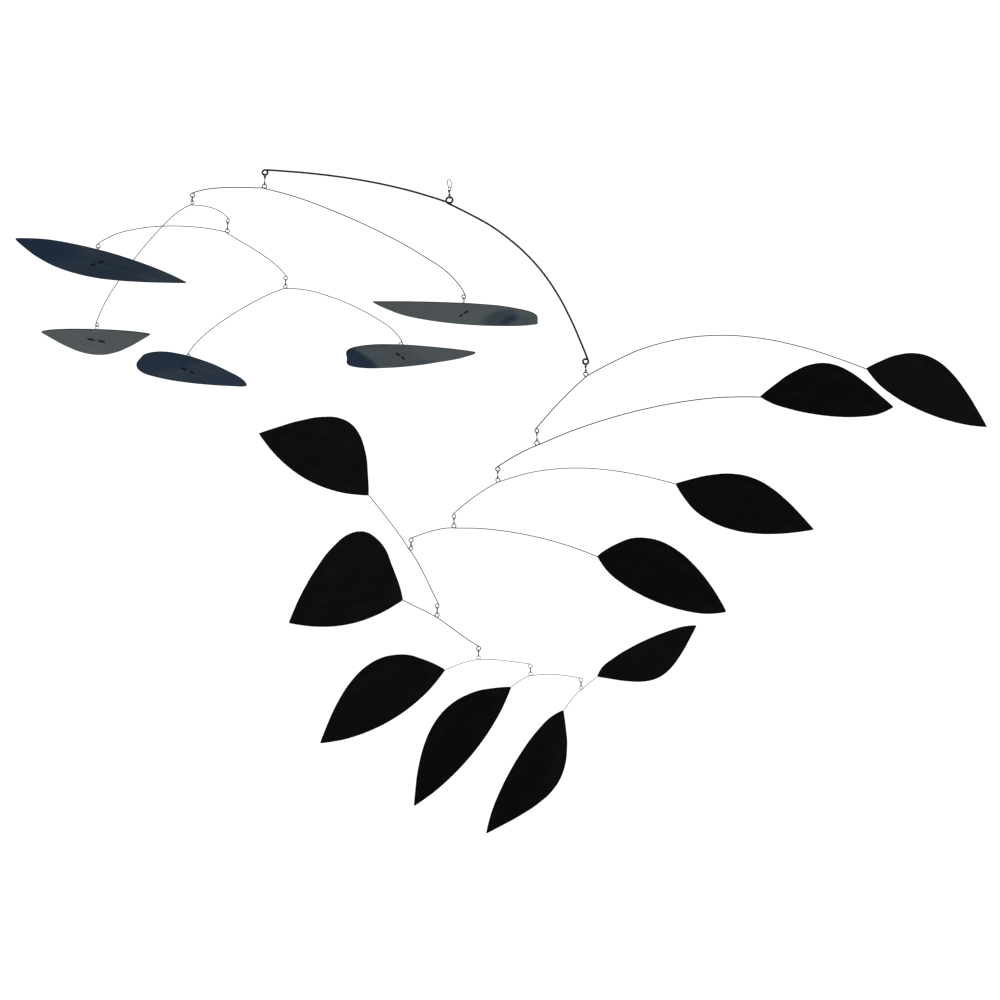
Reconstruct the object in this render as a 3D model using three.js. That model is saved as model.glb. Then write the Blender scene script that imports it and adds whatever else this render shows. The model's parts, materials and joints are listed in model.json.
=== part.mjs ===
// A hanging mobile. Fourteen curved wire arms hang one below the other on small wire links and carry
// ten upright leaves, fixed to the wire ends, and five level blades, each hung on a hairpin of wire.
// Millimetres, +Z up. The origin is the inside top of the hanging ring, where a hook bears.
import * as THREE from "three";

// ---------- driving dimensions, in millimetres and degrees ----------

const play = 0.3; // clearance between two pieces that touch
const sheetGauge = 1; // thickness of leaf_9; the balance gives the other plates theirs
const hangingRing = { wire: 1.2, radius: 6.4, turn: 62 };

// Each arm lies in an upright plane that is turned about Z by turn. Its sides are given in that
// plane, from the centre of its balance eye: s along the plane and z up. A side is one Bezier span,
// with its two bend points, and ends in a ring whose centre is hang, or at the base of a leaf.
// drop is the height from the ring above down to the arm's eye.
const arms = {
  main_arm: {
    wire: 3, turn: 0, drop: 25.5, topLoop: { reach: 2.5, length: 8.5 },
    left: { bend: [[-90, 29], [-180, 42]], hang: [-268, 43], holds: "left_arm_1" },
    right: { bend: [[130, -66], [163, -147]], hang: [194, -244], holds: "right_arm_1" },
  },
  left_arm_1: {
    wire: 1.6, turn: 16, drop: 21.5,
    left: { bend: [[-27, -6], [-75, -7]], hang: [-102, -26], holds: "left_arm_2" },
    right: { bend: [[72, -8], [289, -82]], hang: [299, -139], holds: "blade_1" },
  },
  left_arm_2: {
    wire: 1.3, turn: -30, drop: 12,
    left: { bend: [[-42, 0], [-160, -103]], hang: [-171, -153], holds: "blade_2" },
    right: { bend: [[22, -8], [51, -17]], hang: [67, -41], holds: "left_arm_3" },
  },
  left_arm_3: {
    wire: 1.3, turn: 28, drop: 15.2,
    left: { bend: [[-45, 2], [-142, -12]], hang: [-178, -56], holds: "blade_3" },
    right: { bend: [[27, -15], [68, -27]], hang: [88, -54], holds: "left_arm_4" },
  },
  left_arm_4: {
    wire: 1.3, turn: -14, drop: 12.7,
    left: { bend: [[-37, -10], [-127, -53]], hang: [-144, -92], holds: "blade_4" },
    right: { bend: [[51, -3], [165, -65]], hang: [172, -99], holds: "blade_5" },
  },
  right_arm_1: {
    wire: 1.6, turn: 26, drop: 18.4,
    left: { bend: [[-26, -27], [-53, -57]], hang: [-78, -92], holds: "right_arm_2" },
    right: { bend: [[165, 110], [312, 114]], base: [498, 77], leaf: "leaf_1" },
  },
  right_arm_2: {
    wire: 1.6, turn: 12, drop: 17.2,
    left: { bend: [[-19, -12], [-38, -24]], hang: [-55, -40], holds: "right_arm_3" },
    right: { bend: [[82, 39], [211, 84]], base: [327, 86], leaf: "leaf_2" },
  },
  right_arm_3: {
    wire: 1.3, turn: 24, drop: 15.3,
    left: { bend: [[-24, -16], [-50, -38]], hang: [-64, -56], holds: "right_arm_4" },
    right: { bend: [[91, 38], [180, 37]], base: [278, 22], leaf: "leaf_3" },
  },
  right_arm_4: {
    wire: 1.3, turn: 8, drop: 13,
    left: { bend: [[-22, -3], [-41, -12]], hang: [-57, -21], holds: "right_arm_5" },
    right: { bend: [[64, 1], [137, -13]], base: [194, -36], leaf: "leaf_4" },
  },
  right_arm_5: {
    wire: 1.3, turn: -28, drop: 11,
    left: { bend: [[-20, 25], [-42, 48]], base: [-68, 79], leaf: "leaf_5" },
    right: { bend: [[16, -25], [28, -52]], hang: [41, -80], holds: "right_arm_6" },
  },
  right_arm_6: {
    wire: 1.3, turn: -18, drop: 12.1,
    left: { bend: [[-17, 7], [-34, 14]], base: [-48, 22], leaf: "leaf_6" },
    right: { bend: [[18, -15], [36, -31]], hang: [57, -46], holds: "right_arm_7" },
  },
  right_arm_7: {
    wire: 0.9, turn: -8, drop: 11.6,
    left: { bend: [[-14, -4], [-28, -8]], base: [-43, -15], leaf: "leaf_7" },
    right: { bend: [[26, -2], [44, -6]], hang: [67, -12], holds: "right_arm_8" },
  },
  right_arm_8: {
    wire: 0.9, turn: 14, drop: 10,
    left: { bend: [[-8, -4], [-16, -10]], base: [-25, -17], leaf: "leaf_8" },
    right: { bend: [[30, 3], [46, -1]], hang: [67, -6], holds: "right_arm_9" },
  },
  right_arm_9: {
    wire: 0.9, turn: -30, drop: 10,
    left: { bend: [[-9, -8], [-17, -17]], base: [-26, -27], leaf: "leaf_10" },
    right: { bend: [[8, 4], [15, 9]], base: [23, 13], leaf: "leaf_9" },
  },
};

// Leaves, in the plane of their arm and from their base: the tip, and the two Bezier handles of the
// upper and of the lower edge.
const leaves = {
  leaf_1: { tip: [239, -66], upper: [[117, 70], [169, 46]], lower: [[37, -53], [166, -74]] },
  leaf_2: { tip: [206, -3], upper: [[99, 89], [127, 63]], lower: [[27, -21], [162, -38]] },
  leaf_3: { tip: [235, -48], upper: [[114, 43], [156, 30]], lower: [[47, -92], [190, -58]] },
  leaf_4: { tip: [177, -72], upper: [[105, 91], [179, -75]], lower: [[19, -46], [124, -87]] },
  leaf_5: { tip: [-188, 111], upper: [[-2, 127], [-47, 135]], lower: [[-76, 9], [-139, 46]] },
  leaf_6: { tip: [-164, -23], upper: [[-51, 204], [-145, 29]], lower: [[-51, -31], [-101, -38]] },
  leaf_7: { tip: [-163, -92], upper: [[-112, 71], [-150, -59]], lower: [[-36, -53], [-100, -88]] },
  leaf_8: { tip: [-124, -150], upper: [[-100, -2], [-120, -68]], lower: [[-22, -60], [-72, -118]] },
  leaf_9: { tip: [139, 56], upper: [[2, 24], [112, 62]], lower: [[85, -19], [97, -16]] },
  leaf_10: { tip: [-115, -155], upper: [[-38, -7], [-105, -100]], lower: [[19, -95], [-13, -112]] },
};

// Blades, level, with their long axis turned by turn: the two tips and the Bezier handles of the far
// and of the near edge. stitch is the direction of the hairpin's two feet under the blade.
const blades = {
  blade_1: {
    turn: 20, stitch: -62, fall: 26, left: [-142, -5], right: [117, 0],
    far: [[-37, 110], [155, 4]], near: [[-155, 3], [107, -112]],
  },
  blade_2: {
    turn: 2, stitch: 36, fall: 23.4, left: [-73, -35], right: [84, -31],
    far: [[-34, 107], [-2, 101]], near: [[-51, -56], [45, -54]],
  },
  blade_3: {
    turn: 41, stitch: -38, fall: 23.9, left: [-121, -10], right: [131, -12],
    far: [[-21, 88], [34, 65]], near: [[-68, -70], [72, -43]],
  },
  blade_4: {
    turn: 35, stitch: 62, fall: 21.2, left: [-66, 26], right: [100, 16],
    far: [[-38, 97], [126, 26]], near: [[-136, -147], [86, -25]],
  },
  blade_5: {
    turn: -8, stitch: 70, fall: 17.3, left: [-76, 1], right: [104, 1],
    far: [[-116, 90], [77, 40]], near: [[-76, -124], [135, 6]],
  },
};

const hairpin = { wire: 1, width: 4, foot: 11 };
const leafLap = 12; // length of wire fixed to the back of a leaf
const plateHalf = 0.8; // the lapped wire clears a plate of up to twice this thickness
const coilPlay = 0.25; // sideways clearance between the turns of a balance eye

const armSides = 6;
const linkSides = 5;
const spanSteps = 7;
const ringSteps = 8;
const eyeSteps = 10;
const arcSteps = 5;
const edgeSteps = 8;
const holeSteps = 3; // on each half of a hole

// ---------- sizes worked out from the wire ----------

const ringRadius = (wire) => 1.9 + 0.65 * wire;
const eyeRadius = (wire) => 1.3 + 1.15 * wire;
const linkWire = (above, below) => 0.5 + 0.15 * Math.max(above, below);
const endRing = ({ wire }) => ({ wire, radius: ringRadius(wire) });
const loopReach = 0.85; // half the width and the length of a link's loop, each as a multiple of the
const loopLength = 1.85; // wire that it holds and its own together

// ---------- materials ----------

const finish = (color, roughness, metalness) =>
  new THREE.MeshStandardMaterial({ color, roughness, metalness });
const blackRod = () => finish(0x121212, 0.45, 0.3);
const greyWire = () => finish(0x4a4b49, 0.4, 0.8);
const blackPaint = () => finish(0x070707, 0.6, 0);
const smokedSteel = () => finish(0x3b4347, 0.35, 0.7);

// ---------- wire ----------

// A path through given points, one step of an extrusion for each length between two of them.
class WirePath extends THREE.Curve {
  constructor(points) {
    super();
    this.points = points;
  }

  getPoint(t) {
    const last = this.points.length - 1;
    const i = Math.min(Math.floor(t * last), last - 1);
    return this.points[i].clone().lerp(this.points[i + 1], t * last - i);
  }

  getPointAt(u) {
    return this.getPoint(u);
  }

  getTangentAt(u) {
    const last = this.points.length - 1;
    const i = Math.round(u * last);
    const tangent = new THREE.Vector3();
    for (const j of [i - 1, i]) {
      if (j < 0 || j >= last) continue;
      tangent.add(this.points[j + 1].clone().sub(this.points[j]).normalize());
    }
    return tangent.normalize();
  }
}

function wireSolid(points, diameter, sides) {
  const section = new THREE.Shape();
  for (let i = 0; i < sides; i++) {
    const angle = (2 * Math.PI * i) / sides;
    const corner = [(diameter / 2) * Math.cos(angle), (diameter / 2) * Math.sin(angle)];
    if (i) section.lineTo(...corner);
    else section.moveTo(...corner);
  }
  return new THREE.ExtrudeGeometry(section, {
    extrudePath: new WirePath(points),
    steps: points.length - 1,
  });
}

// Points on an arc in a plane, without its first point.
function arc(centre, radius, start, sweep, steps) {
  return Array.from({ length: steps }, (_, i) => {
    const angle = start + (sweep * (i + 1)) / steps;
    return new THREE.Vector2(Math.cos(angle), Math.sin(angle)).multiplyScalar(radius).add(centre);
  });
}

// ---------- arms ----------

const radians = THREE.MathUtils.degToRad;
const vector = ([s, z]) => new THREE.Vector2(s, z);
const blend = (t) => t * t * (3 - 2 * t);

// Where a wire that comes from a point touches a ring. turn is 1 if the ring lies to its left.
function touch(from, centre, radius, turn) {
  const across = centre.clone().sub(from);
  const heading = across.angle() - turn * Math.asin(radius / across.length());
  const reach = Math.sqrt(across.lengthSq() - radius * radius);
  return new THREE.Vector2(Math.cos(heading), Math.sin(heading)).multiplyScalar(reach).add(from);
}

// One side of an arm, outwards from its eye, with its end ring or its lap on a leaf.
function sidePoints(arm, side, foot, offset, turn) {
  const [first, second] = side.bend.map(vector);
  const radius = ringRadius(arm.wire);
  const end = side.hang ? touch(second, vector(side.hang), radius, turn) : vector(side.base);
  const endOffset = side.hang ? 0 : plateHalf + arm.wire / 2 + play;
  const span = new THREE.CubicBezierCurve(foot, first, second, end).getPoints(spanSteps);
  const points = span.map((p, i) => {
    const y = THREE.MathUtils.lerp(offset, endOffset, blend(i / spanSteps));
    return new THREE.Vector3(p.x, y, p.y);
  });
  if (side.hang) {
    const centre = vector(side.hang);
    const start = end.clone().sub(centre).angle();
    const mouth = 2 * Math.asin((arm.wire + coilPlay) / (2 * radius));
    const ring = arc(centre, radius, start, turn * (2 * Math.PI - mouth), ringSteps);
    points.push(...ring.map((p) => new THREE.Vector3(p.x, 0, p.y)));
  } else {
    const along = end.clone().sub(second).setLength(leafLap).add(end);
    points.push(new THREE.Vector3(along.x, endOffset, along.y));
  }
  return points;
}

// The whole arm: the left side inwards, one full turn of wire for the eye, the right side outwards.
function armSolid(arm) {
  const radius = eyeRadius(arm.wire);
  const slope = vector(arm.right.bend[0]).sub(vector(arm.left.bend[0])).angle();
  const foot = new THREE.Vector2(Math.sin(slope), -Math.cos(slope)).multiplyScalar(radius);
  const half = (arm.wire + coilPlay) / 2;
  const left = sidePoints(arm, arm.left, foot, -half, 1).reverse();
  const right = sidePoints(arm, arm.right, foot, half, -1);
  const eye = arc(new THREE.Vector2(), radius, slope - Math.PI / 2, 2 * Math.PI, eyeSteps);
  const turn = eye.map((p, i) => {
    const y = THREE.MathUtils.lerp(-half, half, (i + 1) / eyeSteps);
    return new THREE.Vector3(p.x, y, p.y);
  });
  return wireSolid([...left, ...turn, ...right.slice(1)], arm.wire, armSides);
}

// ---------- links ----------

// A link from the ring above to the eye below. Its upper loop lies across the ring above, which is
// turned by twist from the arm below, and its lower loop lies across the arm's eye.
function linkSolid(above, arm, twist) {
  const wire = linkWire(above.wire, arm.wire);
  const top = (above.wire + wire) / 2 + play - above.radius;
  const bottom = eyeRadius(arm.wire) - (arm.wire + wire) / 2 - play - arm.drop;
  const loopFor = (held) => ({
    reach: loopReach * (held + wire),
    length: loopLength * (held + wire),
  });
  const upper = arm.topLoop ?? loopFor(above.wire);
  const lower = loopFor(arm.wire);
  const tuck = wire + play / 2;
  const tail = 2 * wire;
  // Out from the shank, round the loop and back to the shank, in the loop's own plane.
  const loop = ({ reach, length }) => [
    [tuck, length + tail],
    [tuck, length],
    [reach, reach],
    ...arc(new THREE.Vector2(0, reach), reach, 0, -Math.PI, arcSteps).map((p) => [p.x, p.y]),
    [0, length],
  ];
  const across = new THREE.Vector3(0, 1, 0);
  const acrossRing = across.clone().applyAxisAngle(new THREE.Vector3(0, 0, 1), -twist);
  const up = ([x, down]) => acrossRing.clone().multiplyScalar(x).setZ(top - down);
  const low = ([x, rise]) => across.clone().multiplyScalar(-x).setZ(bottom + rise);
  return wireSolid([...loop(upper).map(up), ...loop(lower).map(low).reverse()], wire, linkSides);
}

// ---------- plates ----------

function outline(start, there, end, back) {
  const shape = new THREE.Shape();
  shape.moveTo(...start);
  shape.bezierCurveTo(...there.flat(), ...end);
  shape.bezierCurveTo(...back.toReversed().flat(), ...start);
  return shape;
}

const plate = (shape, thickness) =>
  new THREE.ExtrudeGeometry(shape, {
    depth: thickness, bevelEnabled: false, curveSegments: edgeSteps,
  }).translate(0, 0, -thickness / 2);

const leafSolid = ({ tip, upper, lower }, thickness) =>
  plate(outline([0, 0], upper, tip, lower), thickness).rotateX(Math.PI / 2);

// A blade balances on its hairpin, so its outline is moved to bring its centroid to the origin.
function bladeSolid(blade, thickness) {
  const shape = outline(blade.left, blade.far, blade.right, blade.near);
  const solid = weigh(plate(shape, 1));
  const turn = radians(blade.turn - blade.stitch);
  const corners = shape.getPoints(edgeSteps).slice(1);
  const edge = new THREE.Shape(
    corners.map((p) => p.sub(solid.centre).rotateAround(new THREE.Vector2(), turn)),
  );
  for (const side of [-1, 1]) {
    const hole = new THREE.Path();
    hole.absarc((side * hairpin.width) / 2, 0, hairpin.wire / 2 + play, 0, 2 * Math.PI);
    edge.holes.push(new THREE.Path(hole.getPoints(holeSteps).slice(1)));
  }
  return plate(edge, thickness);
}

// Two legs down through the blade, with their feet bent outwards underneath it.
function hairpinSolid(blade, ring, thickness) {
  const { wire, width, foot } = hairpin;
  const top = (ring.wire + wire) / 2 + play - ring.radius;
  const floor = -blade.fall - thickness / 2 - wire / 2 - play;
  const bow = arc(new THREE.Vector2(0, top - width / 2), width / 2, Math.PI, -Math.PI, arcSteps);
  const points = [
    [-width / 2 - foot, floor],
    [-width / 2 - wire, floor],
    [-width / 2, floor + wire / 2],
    [-width / 2, top - width / 2],
    ...bow.map((p) => [p.x, p.y]),
    [width / 2, floor + wire / 2],
    [width / 2 + wire, floor],
    [width / 2 + foot, floor],
  ];
  return wireSolid(points.map(([x, z]) => new THREE.Vector3(x, 0, z)), wire, linkSides);
}

// ---------- balance ----------

// Volume and centre of volume of a closed geometry.
function weigh(geometry) {
  const flat = geometry.index ? geometry.toNonIndexed() : geometry;
  const positions = flat.getAttribute("position");
  const corners = [0, 1, 2].map(() => new THREE.Vector3());
  const centre = new THREE.Vector3();
  let volume = 0;
  for (let i = 0; i < positions.count; i += 3) {
    corners.forEach((corner, j) => corner.fromBufferAttribute(positions, i + j));
    const [a, b, c] = corners;
    const part = a.dot(b.clone().cross(c)) / 6;
    volume += part;
    centre.addScaledVector(a.clone().add(b).add(c), part / 4);
  }
  return { volume, centre: centre.divideScalar(volume) };
}

const wires = Object.fromEntries(Object.entries(arms).map(([name, arm]) => [name, armSolid(arm)]));
const given = { leaf_9: sheetGauge, blade_4: sheetGauge }; // plates that no arm's balance sets
const thickness = {};

// What hangs on one side of an arm: a fixed volume, the volume that each millimetre of the side's
// own plate adds, and their lever from the eye.
function sideLoad(arm, side) {
  if (side.leaf) {
    const { volume, centre } = weigh(leafSolid(leaves[side.leaf], 1));
    return { plate: side.leaf, rate: volume, fixed: 0, lever: side.base[0] + centre.x };
  }
  const ring = endRing(arm);
  const lever = side.hang[0];
  if (side.holds in blades) {
    const blade = blades[side.holds];
    const rate = weigh(bladeSolid(blade, 1)).volume;
    const fixed = weigh(hairpinSolid(blade, ring, sheetGauge)).volume;
    return { plate: side.holds, rate, fixed, lever };
  }
  const child = arms[side.holds];
  const link = weigh(linkSolid(ring, child, radians(child.turn - arm.turn)));
  return { rate: 0, fixed: link.volume + balance(side.holds).volume, lever };
}

// Gives the arm's own plate the thickness that levels the arm. Returns the volume that hangs on the
// arm's link, and the moment that is left where no plate is open.
function balance(name) {
  const own = weigh(wires[name]);
  const sides = [arms[name].left, arms[name].right].map((side) => sideLoad(arms[name], side));
  let moment = own.volume * own.centre.x;
  for (const { plate, fixed, rate, lever } of sides) {
    moment += (fixed + rate * (given[plate] ?? 0)) * lever;
    if (plate in given) thickness[plate] = given[plate];
  }
  const open = sides.find(({ plate }) => plate && !(plate in given));
  if (open) thickness[open.plate] = -moment / (open.rate * open.lever);
  const loads = sides.map(({ plate, fixed, rate }) => fixed + rate * (thickness[plate] ?? 0));
  return { volume: own.volume + loads[0] + loads[1], moment };
}

// The gauge of the left half levels the main arm, whose moment grows evenly with it.
const [atOne, atTwo] = [1, 2].map((gauge) => {
  given.blade_4 = gauge;
  return balance("main_arm").moment;
});
given.blade_4 = 1 - atOne / (atTwo - atOne);
balance("main_arm");

// ---------- assembly ----------

// Each arm hangs in two nested groups: one turns about the upright through the ring above, and
// carries the link, and one rocks in the link's lower loop about the arm's eye.
function solid(name, geometry, material, parent) {
  const mesh = new THREE.Mesh(geometry, material);
  mesh.name = name;
  parent.add(mesh);
  return mesh;
}

function turned(name, turn, s, z, parent) {
  const group = new THREE.Group();
  group.name = name;
  group.position.set(s, 0, z);
  group.rotation.z = radians(turn);
  parent.add(group);
  return group;
}

function hangBlade(name, arm, side, parent) {
  const blade = blades[name];
  const [s, z] = side.hang;
  const group = turned(`${name}_turn`, blade.stitch - arm.turn, s, z, parent);
  const plateSolid = bladeSolid(blade, thickness[name]).translate(0, 0, -blade.fall);
  solid(name, plateSolid, smokedSteel(), group);
  solid(`${name}_hairpin`, hairpinSolid(blade, endRing(arm), thickness[name]), greyWire(), group);
}

function hangArm(name, above, aboveTurn, s, z, parent) {
  const arm = arms[name];
  const twist = arm.turn - aboveTurn;
  const link = turned(`${name}_turn`, twist, s, z, parent);
  solid(`${name}_link`, linkSolid(above, arm, radians(twist)), greyWire(), link);
  const rock = turned(`${name}_rock`, 0, 0, -arm.drop, link);
  solid(name, wires[name], name === "main_arm" ? blackRod() : greyWire(), rock);
  for (const side of [arm.left, arm.right]) {
    if (side.leaf) {
      const leaf = leafSolid(leaves[side.leaf], thickness[side.leaf]);
      solid(side.leaf, leaf, blackPaint(), rock).position.set(side.base[0], 0, side.base[1]);
    } else if (side.holds in blades) {
      hangBlade(side.holds, arm, side, rock);
    } else {
      hangArm(side.holds, endRing(arm), arm.turn, ...side.hang, rock);
    }
  }
}

const { wire, radius, turn } = hangingRing;
const mobile = new THREE.Group();
const ringGeometry = new THREE.TorusGeometry(radius, wire / 2, armSides, 2 * ringSteps);
const hanger = turned("hanger", turn, 0, wire / 2 - radius, mobile);
solid("hanging_ring", ringGeometry.rotateX(Math.PI / 2), greyWire(), hanger);
hangArm("main_arm", hangingRing, turn, 0, 0, hanger);

export default mobile;
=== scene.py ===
import json
import math
import random

import bmesh
import bpy
import numpy as np
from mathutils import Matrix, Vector
from mathutils.geometry import delaunay_2d_cdt


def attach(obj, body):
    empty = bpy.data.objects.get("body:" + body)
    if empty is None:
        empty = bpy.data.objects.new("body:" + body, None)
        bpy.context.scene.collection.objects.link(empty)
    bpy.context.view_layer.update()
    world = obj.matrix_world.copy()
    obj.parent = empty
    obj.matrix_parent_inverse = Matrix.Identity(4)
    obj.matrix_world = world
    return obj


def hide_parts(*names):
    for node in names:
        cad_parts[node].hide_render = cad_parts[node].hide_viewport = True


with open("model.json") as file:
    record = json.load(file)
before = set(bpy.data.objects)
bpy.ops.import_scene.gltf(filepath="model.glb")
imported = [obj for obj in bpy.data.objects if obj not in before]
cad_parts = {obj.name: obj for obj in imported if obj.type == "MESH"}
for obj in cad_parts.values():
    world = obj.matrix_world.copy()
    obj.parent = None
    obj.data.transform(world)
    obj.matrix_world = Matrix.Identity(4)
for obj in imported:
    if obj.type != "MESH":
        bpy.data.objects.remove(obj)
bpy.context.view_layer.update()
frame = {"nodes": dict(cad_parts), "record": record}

# A hanging mobile: wire arms on small links, black leaves fixed to the wire ends and level
# blades on hairpins. Lengths are metres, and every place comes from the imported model.
mm = 0.001
nodes = frame["nodes"]
bodies = frame["record"]["behaviour"]["bodies"]
nodeBody = {node: body for body, members in bodies.items() for node in members}
links = sorted(n for n in nodes if n.endswith("_link"))
arms = sorted(n for n in nodes if "arm" in n and n not in links)
hairpins = sorted(n for n in nodes if n.endswith("_hairpin"))
leaves = sorted(n for n in nodes if n.startswith("leaf_"))
blades = sorted(n for n in nodes if n.startswith("blade_") and n not in hairpins)


# Shader values and looks.

# A number, colour or vector in a node tree. Arithmetic on it adds Math nodes.
class Value:
    def __init__(self, look, socket):
        self.look = look
        self.socket = socket

    def math(self, operation, *values):
        names = ("Value", "Value_001", "Value_002")
        return self.look.node("Math", {"operation": operation}, dict(zip(names, values)))

    def __add__(self, other):
        return self.math("ADD", self, other)

    def __radd__(self, other):
        return self.math("ADD", other, self)

    def __sub__(self, other):
        return self.math("SUBTRACT", self, other)

    def __rsub__(self, other):
        return self.math("SUBTRACT", other, self)

    def __mul__(self, other):
        return self.math("MULTIPLY", self, other)

    def __rmul__(self, other):
        return self.math("MULTIPLY", other, self)

    def __pow__(self, other):
        return self.math("POWER", self, other)

    def above(self, low, high):
        # 0 below low, 1 above high and a soft step between them
        return self.look.node(
            "MapRange",
            {"interpolation_type": "SMOOTHSTEP"},
            {"Value": self, "From Min": low, "From Max": high},
        )


# A node tree, a material's or the world's.
class Look:
    def __init__(self, owner):
        owner.use_nodes = True
        self.owner = owner
        self.tree = owner.node_tree
        self.tree.nodes.clear()

    # Settings are set first, then sockets, each by its identifier or its name.
    def node(self, kind, settings=None, inputs=None, output=None):
        made = self.tree.nodes.new("ShaderNode" + kind)
        for key, setting in (settings or {}).items():
            if key == "stops":
                ramp = made.color_ramp.elements
                while len(ramp) < len(setting):
                    ramp.new(0.5)
                for stop, (position, colour) in zip(ramp, setting):
                    stop.position = position
                    stop.color = (*colour, 1)
            else:
                setattr(made, key, setting)
        for key, value in (inputs or {}).items():
            socket = next(s for s in made.inputs if key in (s.identifier, s.name))
            if isinstance(value, Value):
                self.tree.links.new(value.socket, socket)
            elif socket.type == "RGBA":
                socket.default_value = (*value, 1)
            else:
                socket.default_value = value
        outputs = [s for s in made.outputs if output in (s.identifier, s.name)] or made.outputs
        return Value(self, outputs[0]) if outputs else made

    def mix(self, share, first, second, blend="MIX"):
        return self.node(
            "Mix",
            {"data_type": "RGBA", "blend_type": blend},
            {"Factor_Float": share, "A_Color": first, "B_Color": second},
            "Result_Color",
        )

    def noise(self, vector, scale, detail=2.0, roughness=0.5):
        sockets = {"Vector": vector, "Scale": scale, "Detail": detail, "Roughness": roughness}
        return self.node("TexNoise", {}, sockets)

    def stretched(self, vector, scale):
        sockets = {"Vector": vector, "Vector_001": scale}
        return self.node("VectorMath", {"operation": "MULTIPLY"}, sockets)

    def attribute(self, name):
        return self.node("Attribute", {"attribute_name": name}, output="Vector")

    def parts(self, vector):
        split = self.node("SeparateXYZ", {}, {"Vector": vector}).socket.node
        return [Value(self, socket) for socket in split.outputs]

    def bump(self, height, distance, strength=1.0):
        sockets = {"Height": height, "Distance": distance, "Strength": strength}
        return self.node("Bump", {}, sockets)

    def principled(self, inputs):
        return self.node("BsdfPrincipled", {}, inputs)

    def finish(self, shader, kind="OutputMaterial"):
        self.node(kind, {}, {"Surface": shader})
        return self.owner


def newLook(name):
    return Look(bpy.data.materials.new(name))


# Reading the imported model.

joinWithin = 0.002 * mm


# A node's mesh with its corners joined.
def cadMesh(node):
    mesh = bmesh.new()
    mesh.from_mesh(nodes[node].data)
    bmesh.ops.remove_doubles(mesh, verts=mesh.verts, dist=joinWithin)
    mesh.normal_update()
    mesh.verts.index_update()
    return mesh


# The corners of a flat end of a wire: a flat patch whose corners lie on one circle.
def wireEnd(mesh, sides):
    seen = set()
    for face in mesh.faces:
        if face in seen:
            continue
        patch, waiting = {face}, [face]
        while waiting:
            around = {other for edge in waiting.pop().edges for other in edge.link_faces}
            around -= patch
            level = {other for other in around if other.normal.dot(face.normal) > 0.9999}
            patch |= level
            waiting.extend(level)
        seen |= patch
        corners = {corner for part in patch for corner in part.verts}
        if len(corners) != sides:
            continue
        places = np.array([corner.co for corner in corners])
        reach = np.linalg.norm(places - places.mean(0), axis=1)
        if reach.max() < 1.02 * reach.min():
            return corners


# The centre of every section along a wire, and the wire's radius.
def wireCentres(node, sides):
    mesh = cadMesh(node)
    section = wireEnd(mesh, sides)
    seen, centres = set(section), []
    while section:
        places = np.array([corner.co for corner in section])
        if not centres:
            radius = np.linalg.norm(places - places.mean(0), axis=1).mean()
        centres.append(places.mean(0))
        section = {edge.other_vert(c) for c in section for edge in c.link_edges} - seen
        seen |= section
    mesh.free()
    return np.array(centres), radius


# Wire shapes.

wireStyle = {
    "sides": 12,
    "degreesPerRing": 7,
    "longestStep": 5 * mm,
}


def unit(vectors):
    return vectors / np.linalg.norm(vectors, axis=-1, keepdims=True)


# A smooth line through points. Its heading at each comes from the steps on both sides, bent on
# as far as neighbouring steps of like length show a bend.
def smoothPath(points, degreesPerRing, longestStep):
    steps = np.diff(points, axis=0)
    size = np.linalg.norm(steps, axis=1)
    heading = steps / size[:, None]
    leaving, arriving = heading.copy(), heading.copy()
    for i in range(len(steps) - 1):
        pair = size[i] + size[i + 1]
        if max(size[i], size[i + 1]) < 0.72 * pair:
            bend = (heading[i + 1] - heading[i]) / pair
            leaving[i] -= bend * size[i]
            arriving[i + 1] += bend * size[i + 1]
    tangents = np.zeros_like(points)
    tangents[:-1] += unit(leaving)
    tangents[1:] += unit(arriving)
    tangents = unit(tangents)
    path = [points[:1]]
    for i, length in enumerate(size):
        bend = math.acos(np.clip(tangents[i] @ tangents[i + 1], -1, 1))
        count = max(1, math.ceil(math.degrees(bend) / degreesPerRing))
        count = max(count, math.ceil(length / longestStep))
        t = np.arange(1, count + 1)[:, None] / count
        pull = length / math.cos(bend / 4) ** 2
        path.append(
            (2 * t**3 - 3 * t**2 + 1) * points[i]
            + (t**3 - 2 * t**2 + t) * pull * tangents[i]
            + (3 * t**2 - 2 * t**3) * points[i + 1]
            + (t**3 - t**2) * pull * tangents[i + 1]
        )
    return np.concatenate(path)


# Corners, faces and a grain vector for each corner, gathered from the parts of one piece.
class Shape:
    def __init__(self):
        self.corners = []
        self.faces = []
        self.grain = []

    def add(self, corners, faces, grain):
        first = len(self.corners)
        self.corners.extend(map(tuple, corners))
        self.faces.extend([tuple(first + i for i in face) for face in faces])
        self.grain.extend(map(tuple, grain))


# Rings of corners joined into a closed tube, with a middle corner at each end.
def addTube(shape, rings, grain, ends):
    count, sides = rings.shape[:2]
    corners = [*rings.reshape(-1, 3), *ends]
    faces = []
    for i in range(count - 1):
        for j in range(sides):
            a, b = i * sides + j, i * sides + (j + 1) % sides
            faces.append((a, b, b + sides, a + sides))
    first, last = count * sides, count * sides + 1
    for j in range(sides):
        k = (j + 1) % sides
        faces.append((first, k, j))
        faces.append((last, (count - 1) * sides + j, (count - 1) * sides + k))
    shape.add(corners, faces, [*grain.reshape(-1, 3), grain[0].mean(0), grain[-1].mean(0)])


# Headings along a path, and side vectors that carry along it without twist.
def carriedFrame(path):
    steps = unit(np.diff(path, axis=0))
    heading = unit(np.vstack([steps[:1], steps[:-1] + steps[1:], steps[-1:]]))
    side = np.zeros_like(path)
    start = np.cross(heading[0], (0.3, 0.2, 1))
    for i, ahead in enumerate(heading):
        start = unit(start - ahead * (start @ ahead))
        side[i] = start
    return heading, side, np.cross(heading, side)


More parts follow.
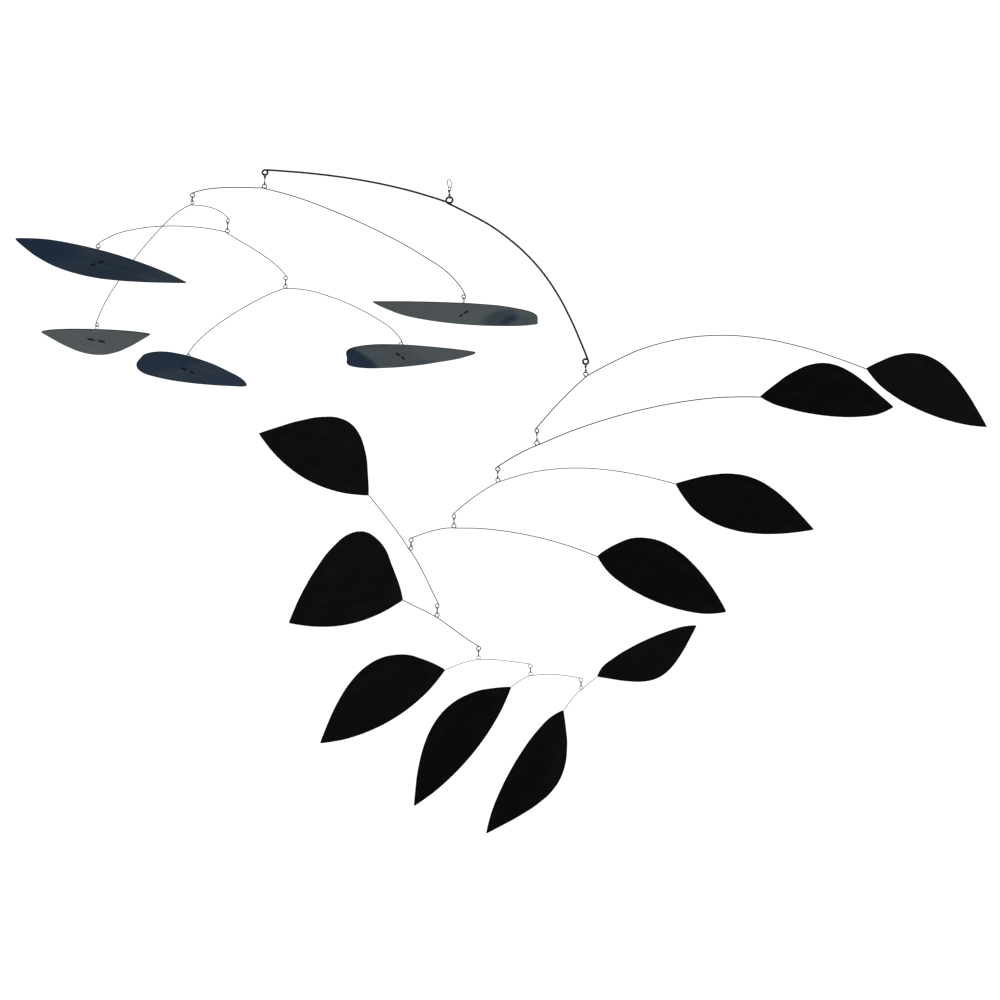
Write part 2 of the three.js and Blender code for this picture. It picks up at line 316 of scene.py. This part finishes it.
# A round wire along a path. Its cut ends are slightly domed.
def addWire(shape, path, radius, sides, seed=0):
    radius = np.broadcast_to(radius, len(path)).copy()
    heading, side, up = carriedFrame(path)
    dome = [(0.34, 0.62), (0.2, 0.9)]  # how far out, and how wide, as shares of the radius
    first, last = heading[0] * radius[0], heading[-1] * radius[-1]
    out = [(path[0] - first * a, side[0], up[0], radius[0] * b) for a, b in dome]
    out += list(zip(path, side, up, radius))
    out += [(path[-1] + last * a, side[-1], up[-1], radius[-1] * b) for a, b in dome[::-1]]
    angles = np.linspace(0, 2 * math.pi, sides, endpoint=False)
    around = np.stack([np.cos(angles), np.sin(angles)])
    rings = np.array([
        c + r * (np.outer(around[0], u) + np.outer(around[1], v)) for c, u, v, r in out
    ])
    centres = np.array([c for c, *_ in out])
    run = np.concatenate([[0], np.cumsum(np.linalg.norm(np.diff(centres, axis=0), axis=1))])
    grain = np.empty(rings.shape)
    grain[..., 0] = run[:, None] + seed
    for k in (0, 1):
        grain[..., k + 1] = around[k] * np.array([r for *_, r in out])[:, None]
    tips = [path[0] - first * 0.38, path[-1] + last * 0.38]
    addTube(shape, rings, grain / mm, tips)


# Pieces.

# A piece made of a shape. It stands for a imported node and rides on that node's body.
def makePiece(name, shape, look, node, replaces=True):
    mesh = bpy.data.meshes.new(name)
    mesh.from_pydata(shape.corners, [], shape.faces)
    mesh.validate()
    mesh.attributes.new("grain", "FLOAT_VECTOR", "POINT")
    mesh.attributes["grain"].data.foreach_set("vector", np.array(shape.grain, float).ravel())
    mesh.polygons.foreach_set("use_smooth", [True] * len(mesh.polygons))
    mesh.materials.append(look)
    piece = bpy.data.objects.new(name, mesh)
    bpy.context.scene.collection.objects.link(piece)
    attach(piece, nodeBody[node])
    if replaces:
        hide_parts(node)
    return piece


# The looks of the wires.

rodPaint = {
    "black": (0.0035, 0.0035, 0.0038),
    "worn": (0.016, 0.016, 0.017),
    "roughness": (0.36, 0.52),
    "specular": 0.22,
}

# Black enamel brushed along the rod, a little thinner and duller in long streaks.
def rodLook():
    look = newLook("rod enamel")
    grain = look.attribute("grain")
    streak = look.noise(look.stretched(grain, (0.03, 1.4, 1.4)), 1.0, 4.0, 0.6)
    speck = look.noise(grain, 2.6, 3.0)
    worn = streak.above(0.52, 0.74) * speck.above(0.42, 0.6)
    low, high = rodPaint["roughness"]
    shader = look.principled({
        "Base Color": look.mix(worn, rodPaint["black"], rodPaint["worn"]),
        "Roughness": low + (high - low) * streak,
        "Specular IOR Level": rodPaint["specular"],
        "Normal": look.bump(streak + 0.4 * speck, 0.02 * mm),
    })
    return look.finish(shader)


drawnWire = {
    "tones": {"heavy": 0.040, "middle": 0.060, "light": 0.15},
    "tint": (0.97, 1.0, 0.98),
    "streak": 0.45,  # how much darker a drawing mark is
    "roughness": (0.28, 0.46),
}

# Steel wire with the fine lengthwise marks of drawing, and dull freckles of oxide.
def wireLook(grade):
    look = newLook("drawn wire " + grade)
    tone = drawnWire["tones"][grade]
    bright = tuple(tone * c for c in drawnWire["tint"])
    dark = tuple(c * (1 - drawnWire["streak"]) for c in bright)
    grain = look.attribute("grain")
    mark = look.noise(look.stretched(grain, (0.06, 5.0, 5.0)), 1.0, 3.0, 0.65)
    freckle = look.noise(grain, 1.3, 4.0, 0.6).above(0.56, 0.7)
    oxide = look.mix(freckle, look.mix(mark, dark, bright), tuple(c * 0.5 for c in bright))
    low, high = drawnWire["roughness"]
    shader = look.principled({
        "Base Color": oxide,
        "Metallic": 1.0 - 0.7 * freckle,
        "Roughness": low + (high - low) * mark + 0.2 * freckle,
        "Normal": look.bump(mark, 0.012 * mm),
    })
    return look.finish(shader)


bindingWire = {
    "black": (0.0045, 0.0045, 0.005),
    "rubbed": (0.03, 0.03, 0.032),
    "roughness": 0.42,
    "specular": 0.3,
}

# Soft black iron wire, rubbed brighter here and there.
def bindingLook():
    look = newLook("binding wire")
    grain = look.attribute("grain")
    rub = look.noise(look.stretched(grain, (0.5, 2.0, 2.0)), 1.0, 3.0)
    shader = look.principled({
        "Base Color": look.mix(rub.above(0.5, 0.8), bindingWire["black"], bindingWire["rubbed"]),
        "Roughness": bindingWire["roughness"] + 0.2 * rub,
        "Specular IOR Level": bindingWire["specular"],
        "Normal": look.bump(rub, 0.02 * mm),
    })
    return look.finish(shader)


rodMaterial = rodLook()
wireMaterials = {grade: wireLook(grade) for grade in drawnWire["tones"]}
bindingMaterial = bindingLook()


def gradeOf(radius):
    return "light" if radius < 0.5 * mm else "middle" if radius < 0.7 * mm else "heavy"


# Arms.

armSides = 6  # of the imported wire
wirePaths = {}


def wirePath(node, sides):
    centres, radius = wireCentres(node, sides)
    path = smoothPath(centres, wireStyle["degreesPerRing"], wireStyle["longestStep"])
    wirePaths[node] = {"centres": centres, "path": path, "radius": radius}
    return path, radius


for count, arm in enumerate(arms):
    path, radius = wirePath(arm, armSides)
    shape = Shape()
    addWire(shape, path, radius, wireStyle["sides"], seed=0.4 * count)
    if arm == "main_arm":
        makePiece("main_arm_rod", shape, rodMaterial, arm)
    else:
        makePiece(arm + "_wire", shape, wireMaterials[gradeOf(radius)], arm)
print("arms:", len(arms))


# Links.

linkSides = 5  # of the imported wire

collar = {
    "reachIn": 0.6,  # how far the binding runs up the loop's two converging sides, as a share
    "tail": 0.42,  # how far it runs along the shank, as a share of the shank between the loops
    "longestTail": 4.5 * mm,
    "wire": 0.42 * mm,
    "flat": 0.72,  # the wound cone's thickness over its width
    "stepsPerTurn": 14,
    "sides": 6,
}


# The binding that closes one loop: a cone wound with fine wire, from inside the loop, where its
# two sides come together, to a point on the shank.
def addCollar(shape, loop, shank, radius, seed):
    # loop: the sections from the wire's tail round to the neck, where the shank starts
    tail, corner, far, neck = loop[1], loop[2], loop[-2], loop[-1]
    first = tail + (corner - tail) * collar["reachIn"]
    second = neck + (far - neck) * collar["reachIn"]
    along = min(collar["longestTail"], collar["tail"] * np.linalg.norm(shank - neck))
    point = neck + unit(shank - neck) * along
    axis = np.array([(first + second) / 2, (tail + neck) / 2, point])
    wide = np.array([
        np.linalg.norm(first - second) / 2 + radius,
        np.linalg.norm(tail - neck) / 2 + radius,
        radius,
    ])
    run = np.concatenate([[0], np.cumsum(np.linalg.norm(np.diff(axis, axis=0), axis=1))])
    heading = unit(axis[-1] - axis[0])
    across = unit((first - second) - heading * ((first - second) @ heading))
    out = np.cross(heading, across)

    def place(at, angle, lift):
        middle = np.array([np.interp(at, run, axis[:, k]) for k in range(3)])
        reach = np.interp(at, run, wide)
        flat = max(radius, reach * collar["flat"])
        sideways = across * (reach + lift) * math.cos(angle)
        return middle + sideways + out * (flat + lift) * math.sin(angle)

    angles = np.linspace(0, 2 * math.pi, wireStyle["sides"], endpoint=False)
    levels = np.linspace(0, run[-1], 9)
    core = np.array([[place(at, angle, 0) for angle in angles] for at in levels])
    addTube(shape, core, core / mm, [axis[0], axis[-1]])
    turns = run[-1] / (1.04 * collar["wire"])
    count = int(turns * collar["stepsPerTurn"])
    coil = [
        place(run[-1] * i / count, seed + 2 * math.pi * turns * i / count, 0.2 * collar["wire"])
        for i in range(count + 1)
    ]
    addWire(shape, np.array(coil), collar["wire"] / 2, collar["sides"], seed)


for count, link in enumerate(links):
    centres, radius = wireCentres(link, linkSides)
    if centres[0][2] < centres[-1][2]:
        centres = centres[::-1]
    half = len(centres) // 2
    path = smoothPath(centres[1:-1], wireStyle["degreesPerRing"], wireStyle["longestStep"])
    shape = Shape()
    addWire(shape, path, radius, wireStyle["sides"], seed=0.7 * count)
    makePiece(link + "_wire", shape, wireMaterials["light"], link)
    shape = Shape()
    addCollar(shape, centres[:half], centres[half], radius, count)
    addCollar(shape, centres[:half - 1:-1], centres[half - 1], radius, count + 2)
    makePiece(link + "_collars", shape, bindingMaterial, link, replaces=False)
print("links:", len(links))


# The hanging ring.

hangingRing = {
    "steps": 60,
    "joint": 1.5,  # degrees left open where the ring was closed
    "jointAt": 250,  # degrees round from the ring's lowest point
}

mesh = cadMesh("hanging_ring")
places = np.array([corner.co for corner in mesh.verts])
mesh.free()
middle = places.mean(0)
outward = np.linalg.svd(places - middle)[2]
reach = np.linalg.norm(places - middle, axis=1)
ringWire = (reach.max() - reach.min()) / 2
ringRadius = (reach.max() + reach.min()) / 2
low = np.array([0, 0, -1.0])
side = unit(np.cross(outward[2], low))
start = math.radians(hangingRing["jointAt"] + hangingRing["joint"] / 2)
angles = start + np.radians(360 - hangingRing["joint"]) * np.linspace(0, 1, hangingRing["steps"])
path = middle + ringRadius * (np.outer(np.cos(angles), low) + np.outer(np.sin(angles), side))
shape = Shape()
addWire(shape, path, ringWire, wireStyle["sides"])
makePiece("hanging_ring_wire", shape, wireMaterials["middle"], "hanging_ring")
print("hanging ring")


# Plates.

plateStyle = {
    "sharpTurn": 70,  # degrees; a smaller turn is part of a smooth edge
    "degreesPerStep": 4,
    "longestStep": 3 * mm,
    "edge": 0.34,  # radius of the filed edge, as a share of the thickness
    "edgeSteps": 3,
    "spacing": 6 * mm,  # between corners inside the face
    "insets": (1 * mm, 2.5 * mm, 5 * mm),  # lines of corners that follow the edge
    "flatWithin": 30 * mm,  # the sheet is flat near its wire
}


# A plate's centre, axes, thickness, edge line and hole lines. The first axis runs from tip to
# tip, the second across, and the third out of the side that faces the given way.
def plateFrame(node, facing):
    mesh = cadMesh(node)
    places = np.array([corner.co for corner in mesh.verts])
    middle = places.mean(0)
    out = np.linalg.svd(places - middle, full_matrices=False)[2][2]
    out = out * (1 if out @ facing > 0 else -1)
    height = (places - middle) @ out
    middle = middle + out * (height.max() + height.min()) / 2
    thickness = height.max() - height.min()
    face = {f for f in mesh.faces if np.dot(f.normal, out) > 0.9}
    following = {}
    for edge in mesh.edges:
        inside = [loop for loop in edge.link_loops if loop.face in face]
        if len(inside) == 1:
            following[inside[0].vert.index] = inside[0].link_loop_next.vert.index
    loops = []
    while following:
        at = next(iter(following))
        loop = []
        while at in following:
            loop.append(at)
            at = following.pop(at)
        loops.append(places[loop])
    loops.sort(key=lambda loop: -np.linalg.norm(np.ptp(loop, axis=0)))
    mesh.free()
    edge = loops[0]
    apart = np.linalg.norm(edge[:, None] - edge[None], axis=2)
    one, two = np.unravel_index(apart.argmax(), apart.shape)
    along = unit(edge[two] - edge[one])
    along = along * (1 if along[0] > 0 else -1)
    axes = np.array([along, np.cross(out, along), out])
    flat = [(loop - middle) @ axes[:2].T for loop in loops]
    plate = {"middle": middle, "axes": axes, "thickness": thickness}
    return {**plate, "edge": flat[0], "holes": flat[1:]}


# A closed line with its gentle turns made smooth and its sharp corners rounded off.
def smoothLoop(loop, cutBack):
    steps = unit(np.roll(loop, -1, axis=0) - loop)
    turn = (steps * np.roll(steps, 1, axis=0)).sum(1)
    turn = np.degrees(np.arccos(np.clip(turn, -1, 1)))
    sharp = [i for i in range(len(loop)) if turn[i] > plateStyle["sharpTurn"]] or [0]
    line = []
    for a, b in zip(sharp, sharp[1:] + [sharp[0] + len(loop)]):
        stretch = loop[[i % len(loop) for i in range(a, b + 1)]]
        step = plateStyle["longestStep"]
        stretch = smoothPath(stretch, plateStyle["degreesPerStep"], step)
        run = np.concatenate([[0], np.cumsum(np.linalg.norm(np.diff(stretch, axis=0), axis=1))])
        keep = (run > cutBack) & (run < run[-1] - cutBack)
        cuts = (cutBack, run[-1] - cutBack)
        ends = [[np.interp(at, run, stretch[:, k]) for k in (0, 1)] for at in cuts]
        line.append(np.vstack([ends[0], stretch[keep], ends[1]]))
    rounded = []
    for stretch, start, after in zip(line, sharp, line[1:] + line[:1]):
        rounded.append(stretch)
        corner = loop[sharp[(sharp.index(start) + 1) % len(sharp)]]
        for t in np.linspace(0, 1, 9)[1:-1]:
            pulled = (1 - t) ** 2 * stretch[-1] + 2 * t * (1 - t) * corner
            rounded.append([pulled + t**2 * after[0]])
    return np.vstack(rounded)


# The line moved sideways, to the left of its heading for a positive distance.
def insetLoop(loop, distance):
    ahead = unit(np.roll(loop, -1, axis=0) - np.roll(loop, 1, axis=0))
    return loop + distance * np.stack([-ahead[:, 1], ahead[:, 0]], axis=1)


# How far points are from a closed line, and whether it goes round them.
def nearLoop(points, loop):
    start, end = loop, np.roll(loop, -1, axis=0)
    step = end - start
    away = points[:, None] - start[None]
    t = np.clip((away * step).sum(2) / np.maximum((step**2).sum(1), 1e-18), 0, 1)
    distance = np.linalg.norm(away - t[..., None] * step, axis=2).min(1)
    up = (start[:, 1] > points[:, None, 1]) != (end[:, 1] > points[:, None, 1])
    rise = np.where(abs(step[:, 1]) < 1e-12, 1e-12, step[:, 1])
    left = points[:, None, 0] < start[:, 0] + (points[:, None, 1] - start[:, 1]) * step[:, 0] / rise
    return distance, (up & left).sum(1) % 2 == 1


# How the sheet waves a little, away from its wire.
def sheetWave(points, fixed, amount, seed):
    maker = random.Random(seed)
    wave = np.zeros(len(points))
    for length in (190 * mm, 120 * mm, 75 * mm):
        angle, phase = maker.uniform(-0.6, 0.6), maker.uniform(0, 2 * math.pi)
        across = points @ (math.cos(angle), math.sin(angle))
        wave += length * np.sin(2 * math.pi * across / length + phase)
    away = np.linalg.norm(points - fixed, axis=1) / plateStyle["flatWithin"]
    return wave / (385 * mm) * amount * np.clip(away - 0.5, 0, 1) ** 2


# A plate's sheet: two faces on one net of corners, joined by a filed edge.
def addPlate(shape, plate, cutBack, fixed, amount, seed):
    thickness = plate["thickness"]
    edgeRadius = plateStyle["edge"] * thickness
    edge = smoothLoop(plate["edge"], cutBack)
    loops = [edge, *plate["holes"]]
    inner = [insetLoop(loop, edgeRadius) for loop in loops]
    low, high = edge.min(0), edge.max(0)
    step = plateStyle["spacing"]
    grid = [
        (x + (row % 2) * step / 2, y)
        for row, y in enumerate(np.arange(low[1], high[1], step * 0.866))
        for x in np.arange(low[0], high[0], step)
    ]
    grid = np.array(grid) + np.random.default_rng(seed).uniform(-0.4, 0.4, (len(grid), 2)) * mm
    distance, inside = nearLoop(grid, edge)
    extra = [grid[inside & (distance > 7.5 * mm)]]
    for inset in plateStyle["insets"]:
        line = insetLoop(edge, inset)[:: 1 if inset < 2 * mm else 2]
        distance, inside = nearLoop(line, edge)
        extra.append(line[inside & (distance > 0.93 * inset)])
    extra = np.vstack(extra)
    for hole in loops[1:]:
        distance, inside = nearLoop(extra, hole)
        extra = extra[~inside & (distance > 1.5 * mm)]
    points = np.vstack([*inner, extra])
    lines, first = [], 0
    for loop in inner:
        count = len(loop)
        lines += [(first + i, first + (i + 1) % count) for i in range(count)]
        first += count
    made = delaunay_2d_cdt([tuple(p) for p in points], lines, [], 0, 1e-9)
    net, faces = np.array(made[0]), [tuple(f) for f in made[2]]
    centres = np.array([net[list(f)].mean(0) for f in faces])
    keep = nearLoop(centres, inner[0])[1]
    for loop in inner[1:]:
        keep &= ~nearLoop(centres, loop)[1]
    area = [
        np.cross(net[b] - net[a], net[c] - net[a]) for a, b, c in faces
    ]
    faces = [f if turned > 0 else f[::-1] for f, turned, kept in zip(faces, area, keep) if kept]
    along, across, out = plate["axes"]

    def place(flat, height):
        wave = sheetWave(flat, fixed, amount, seed)
        level = np.outer(flat[:, 0], along) + np.outer(flat[:, 1], across)
        return plate["middle"] + level + np.outer(wave + height, out)

    def grainOf(flat):
        return np.column_stack([flat, nearLoop(flat, edge)[0]]) / mm

    grain = grainOf(net)
    top, bottom = place(net, thickness / 2), place(net, -thickness / 2)
    shape.add(top, faces, grain)
    shape.add(bottom, [f[::-1] for f in faces], grain)
    turns = np.linspace(0, math.pi / 2, plateStyle["edgeSteps"] + 1)
    profile = [
        (edgeRadius * (1 - math.sin(a)), thickness / 2 - edgeRadius * (1 - math.cos(a)))
        for a in turns
    ]
    profile += [(inset, -height) for inset, height in profile[::-1]]
    for loop in loops:
        count = len(loop)
        rings = [insetLoop(loop, inset) for inset, height in profile]
        corners = np.vstack([place(ring, height) for ring, (inset, height) in zip(rings, profile)])
        grain = np.vstack([np.column_stack([loop, np.zeros(count)]) / mm] * len(profile))
        faces = []
        for i in range(len(profile) - 1):
            for j in range(count):
                a, b = i * count + j, i * count + (j + 1) % count
                faces.append((b, a, a + count, b + count))
        shape.add(corners, faces, grain)
    return edge


leafStyle = {
    "roundedTip": 2.5 * mm,
    "wave": 0.3 * mm,
    "solderWidth": 1.5 * mm,  # beyond the wire on each side
    "black": (0.0012, 0.0012, 0.0013),
    "dusty": (0.0026, 0.0026, 0.0028),
    "bare": (0.012, 0.012, 0.0125),
    "roughness": (0.46, 0.62),
    "specular": 0.03,
}

# Flat black paint, sprayed: a fine mist, faint clouds, and a rubbed line along the edge.
def leafLook():
    look = newLook("leaf paint")
    grain = look.attribute("grain")
    cloud = look.noise(look.stretched(grain, (0.02, 0.05, 0.05)), 1.0, 4.0, 0.55)
    mist = look.noise(grain, 2.4, 3.0, 0.6)
    fleck = look.noise(grain, 0.55, 5.0, 0.65)
    x, y, inward = look.parts(grain)
    rubbed = (0.5 - inward).above(0.0, 0.5) * fleck.above(0.48, 0.66)
    base = look.mix(cloud.above(0.4, 0.75), leafStyle["black"], leafStyle["dusty"])
    low, high = leafStyle["roughness"]
    shader = look.principled({
        "Base Color": look.mix(rubbed, base, leafStyle["bare"]),
        "Roughness": low + (high - low) * cloud,
        "Specular IOR Level": leafStyle["specular"],
        "Normal": look.bump(mist + 0.5 * fleck, 0.03 * mm),
    })
    return look.finish(shader)


leafMaterial = leafLook()


# A low mound of solder over a wire's end, on the plate's face. The path is the wire's, as flat
# places on the plate; side is the face it lies on, 1 or -1.
def addMound(shape, plate, path, halfWidth, top, side, base=0.15 * mm):
    along, across, out = plate["axes"]
    surface = plate["thickness"] / 2
    run = np.concatenate([[0], np.cumsum(np.linalg.norm(np.diff(path, axis=0), axis=1))])
    at = run[-1] / 2 * (1 - np.cos(np.linspace(0.04, math.pi - 0.04, 22)))
    middle = np.stack([np.interp(at, run, path[:, k]) for k in (0, 1)], axis=1)
    ahead = unit(np.gradient(middle, axis=0))
    aside = np.stack([-ahead[:, 1], ahead[:, 0]], axis=1)
    end = np.clip(np.minimum(at, run[-1] - at) / (1.6 * halfWidth), 0, 1)
    full = np.sqrt(1 - (1 - end) ** 2)
    angles = np.linspace(0, math.pi, 9)
    rings, grain = [], []
    for m, a, f in zip(middle, aside, full):
        flat = m + np.outer(halfWidth * f * np.cos(angles), a)
        height = surface - base + ((top - surface) * f + base) * np.sin(angles)
        level = np.outer(flat[:, 0], along) + np.outer(flat[:, 1], across)
        rings.append(plate["middle"] + level + np.outer(side * height, out))
        grain.append(np.column_stack([flat, np.full(len(flat), 3 * mm)]))
    rings, grain = np.array(rings), np.array(grain)
    if side > 0:
        rings, grain = rings[:, ::-1], grain[:, ::-1]
    addTube(shape, rings, grain / mm, [rings[0].mean(0), rings[-1].mean(0)])


# The stretch of wire that lies on a plate: its flat places and its height off the middle.
def lapOn(plate, edge):
    for arm in arms:
        path = wirePaths[arm]["path"]
        local = (path - plate["middle"]) @ plate["axes"].T
        near = nearLoop(local[:, :2], edge)[1] & (abs(local[:, 2]) < 3 * mm)
        if near.sum() > 1:
            lap = local[near]
            fine, known = np.linspace(0, len(lap) - 1, 30), range(len(lap))
            lap = np.stack([np.interp(fine, known, lap[:, k]) for k in range(3)], axis=1)
            return arm, lap[:, :2], lap[:, 2].mean()
    raise ValueError("no wire lies on this leaf")


for count, leaf in enumerate(leaves):
    plate = plateFrame(leaf, (0, -1, 0))
    rough = smoothLoop(plate["edge"], leafStyle["roundedTip"])
    arm, lap, height = lapOn(plate, rough)
    shape = Shape()
    addPlate(shape, plate, leafStyle["roundedTip"], lap.mean(0), leafStyle["wave"], 40 + count)
    radius = wirePaths[arm]["radius"]
    side = 1 if height > 0 else -1
    top = abs(height) + 0.55 * radius
    addMound(shape, plate, lap, radius + leafStyle["solderWidth"], top, side)
    makePiece(leaf + "_sheet", shape, leafMaterial, leaf)
print("leaves:", len(leaves))


# Blades.

bladeStyle = {
    "roundedTip": 5 * mm,
    "wave": 0.35 * mm,
    # The painted reflections: two greyish tones of painted sheen, a dark bluish painted reflection,
    # and a dark tone painted along the edge as a reflection, which also colours the scratches.
    "sheenGrey": (0.022, 0.033, 0.035),
    "sheenPale": (0.040, 0.052, 0.054),
    "reflectedNavy": (0.0020, 0.0120, 0.0320),
    "rimReflectionAndScratch": (0.006, 0.009, 0.009),
    "sheenGreyRoughness": 0.38,
    "reflectedNavyRoughness": 0.45,
}

# Where each blade shows a dark bluish painted reflection instead of a greyish painted sheen:
# soft ovals, as shares of its length and of its width, each with its middle, its half length,
# its half width and its strength.
bladeReflectionOvals = {
    "blade_1": {"base": 0.06, "ovals": [(0.76, 0.5, 0.11, 0.55, 0.5), (0.88, 0.5, 0.12, 0.4, 0.3)]},
    "blade_2": {"base": 0.08, "ovals": [(0.98, 0.5, 0.05, 0.8, 0.2)]},
    "blade_3": {"base": 0.74, "ovals": [(0.10, 0.5, 0.30, 0.9, 0.2), (0.93, 0.5, 0.22, 0.9, -0.1)]},
    "blade_4": {"base": 0.78, "ovals": [(0.08, 0.5, 0.36, 1.2, 0.35), (0.92, 0.5, 0.34, 1.2, 0.1)]},
    "blade_5": {"base": 0.42, "ovals": [(0.02, 0.5, 0.22, 1.2, 0.9), (0.8, 0.5, 0.3, 0.9, -0.15)]},
}


# Dark steel blades with painted reflections: a greyish painted sheen that turns to a dark bluish
# painted reflection in clouds drawn out along the blade, with brushed lines, thin scratches and a
# dark reflection painted along the edge.
def bladeLook(blade, low, high):
    look = newLook(blade + " steel")
    grain = look.attribute("grain")
    x, y, inward = look.parts(grain)
    length, width = (high - low) / mm
    share = (x - float(low[0] / mm)) * float(1 / length)
    aside = (y - float(low[1] / mm)) * float(1 / width)
    brushed = look.noise(look.stretched(grain, (0.012, 0.55, 0.0)), 1.0, 5.0, 0.6)
    broad = look.noise(look.stretched(grain, (0.008, 0.06, 0.0)), 1.0, 3.0, 0.5)
    scratch = look.noise(look.stretched(grain, (0.05, 3.5, 0.0)), 1.0, 2.0, 0.5)
    cloud = bladeReflectionOvals[blade]
    # How much of the dark bluish painted reflection shows in place of the greyish painted sheen, in
    # broad clouds, ovals and brushed streaks.
    reflectedNavy = cloud["base"] + 0.35 * (broad - 0.5)
    for middle, at, halfLength, halfWidth, strength in cloud["ovals"]:
        oval = ((share - middle) * (1 / halfLength)) ** 2.0
        oval = oval + ((aside - at) * (1 / halfWidth)) ** 2.0
        reflectedNavy = reflectedNavy + strength * (1.0 - oval).above(0.0, 0.8)
    reflectedNavy = reflectedNavy + 0.30 * (brushed - 0.5)
    # A dark reflection painted along the edge, fading out about 2 mm in.
    rimReflectionAndScratch = (1.0 - inward * 0.45).above(0.0, 1.0)
    # The greyish painted sheen, streaked by the brushed lines.
    sheenOnSteel = look.mix(brushed, bladeStyle["sheenGrey"], bladeStyle["sheenPale"])
    bump = look.bump(0.6 * brushed + 0.4 * scratch, 0.012 * mm)
    sheenGrey = look.principled({
        # The base colour is darkened along the edge by the painted reflection.
        "Base Color": look.mix(rimReflectionAndScratch * 0.85, sheenOnSteel, bladeStyle["rimReflectionAndScratch"]),
        "Roughness": bladeStyle["sheenGreyRoughness"] + 0.14 * (scratch - 0.5) + 0.1 * brushed,
        "Specular IOR Level": 0.05,
        "Normal": bump,
    })
    # The dark bluish painted reflection, its scratches coloured with the tone of the painted edge
    # reflection.
    reflectedNavyShader = look.principled({
        "Base Color": look.mix(scratch.above(0.5, 0.8), bladeStyle["reflectedNavy"], bladeStyle["rimReflectionAndScratch"]),
        "Roughness": bladeStyle["reflectedNavyRoughness"] + 0.1 * scratch,
        "Specular IOR Level": 0.01,
        "Normal": bump,
    })
    # The mix lays the dark bluish painted reflection over the greyish painted sheen.
    inputs = {"Fac": reflectedNavy.above(0.0, 1.0), "Shader": sheenGrey, "Shader_001": reflectedNavyShader}
    shader = look.node("MixShader", {}, inputs)
    return look.finish(shader)


hairpinStyle = {
    "lift": 0.3 * mm,  # the feet are drawn up to the blade
    "bondWidth": 1.5 * mm,
    "bondHeight": 1.45 * mm,
    "bondBeyond": 0.8 * mm,  # past the foot's end
}

for count, (blade, hairpin) in enumerate(zip(blades, hairpins)):
    plate = plateFrame(blade, (0, 0, 1))
    centres, radius = wireCentres(hairpin, linkSides)
    local = (centres - plate["middle"]) @ plate["axes"].T
    under = local[:, 2] < 0
    fixed = local[[2, -3], :2].mean(0)
    shape = Shape()
    edge = addPlate(shape, plate, bladeStyle["roundedTip"], fixed, bladeStyle["wave"], 70 + count)
    material = bladeLook(blade, edge.min(0), edge.max(0))
    makePiece(blade + "_sheet", shape, material, blade)
    centres[under] += plate["axes"][2] * hairpinStyle["lift"]
    shape = Shape()
    path = smoothPath(centres, wireStyle["degreesPerRing"], wireStyle["longestStep"])
    addWire(shape, path, radius, wireStyle["sides"], seed=0.9 * count)
    makePiece(hairpin + "_wire", shape, wireMaterials["middle"], hairpin)
    shape = Shape()
    for tip, corner in ((0, 1), (-1, -2)):
        ahead = unit(local[tip, :2] - local[corner, :2])
        start = local[corner, :2] - ahead * (radius * 0.2)
        end = local[tip, :2] + ahead * hairpinStyle["bondBeyond"]
        path = start + np.linspace(0, 1, 12)[:, None] * (end - start)
        top = plate["thickness"] / 2 + hairpinStyle["bondHeight"]
        addMound(shape, plate, path, hairpinStyle["bondWidth"], top, -1)
    makePiece(blade + "_bond", shape, leafMaterial, hairpin, replaces=False)
print("blades:", len(blades))


# Floor, light and camera.

stage = {
    "floor": -2.4,
    "floorSize": 60.0,
    "skyFront": 0.62,
    "skyBack": 1.15,
    "skyTop": 1.6,
    "camera": (0.0731, -2.1612, -0.9627),
    "pitch": 102.7,
    "lens": 57.6,
}


def floorLook():
    look = newLook("studio floor")
    place = look.node("TexCoord", output="Object")
    mottle = look.noise(place, 3.0, 3.0)
    shader = look.principled({
        "Base Color": look.mix(mottle, (0.9, 0.9, 0.9), (0.93, 0.93, 0.93)),
        "Roughness": 0.85 + 0.1 * mottle,
        "Specular IOR Level": 0.0,
    })
    return look.finish(shader)


half = stage["floorSize"] / 2
mesh = bpy.data.meshes.new("studio_floor")
corners = [(-half, -half), (half, -half), (half, half), (-half, half)]
mesh.from_pydata([(*c, stage["floor"]) for c in corners], [], [(0, 1, 2, 3)])
mesh.materials.append(floorLook())
floor = bpy.data.objects.new("studio_floor", mesh)
bpy.context.scene.collection.objects.link(floor)

# Soft light from all round: brightest above, and dimmer in front of the object than behind it.
world = bpy.data.worlds.new("studio")
sky = Look(world)
x, y, z = sky.parts(sky.node("TexCoord", output="Generated"))
level = stage["skyFront"] + (stage["skyBack"] - stage["skyFront"]) * y.above(-0.6, 0.8)
level = level + (stage["skyTop"] - stage["skyBack"]) * z.above(0.15, 0.95)
sky.finish(sky.node("Background", {}, {"Color": (1, 1, 1), "Strength": level}), "OutputWorld")
bpy.context.scene.world = world


def addLight(name, at, aim, size, watts):
    light = bpy.data.lights.new(name, "AREA")
    light.size = size
    light.energy = watts
    lamp = bpy.data.objects.new(name, light)
    lamp.location = at
    lamp.rotation_euler = (Vector(aim) - Vector(at)).to_track_quat("-Z", "Y").to_euler()
    bpy.context.scene.collection.objects.link(lamp)


addLight("key_light", (-1.8, -2.6, 1.6), (0, 0, -0.4), 1.6, 45)

lens = bpy.data.cameras.new("view")
lens.lens = stage["lens"]
lens.sensor_width = 36
lens.clip_end = 500
camera = bpy.data.objects.new("view", lens)
camera.location = stage["camera"]
camera.rotation_euler = (math.radians(stage["pitch"]), 0, 0)
bpy.context.scene.collection.objects.link(camera)
bpy.context.scene.camera = camera
bpy.context.scene.view_settings.view_transform = "Standard"
print("stage")
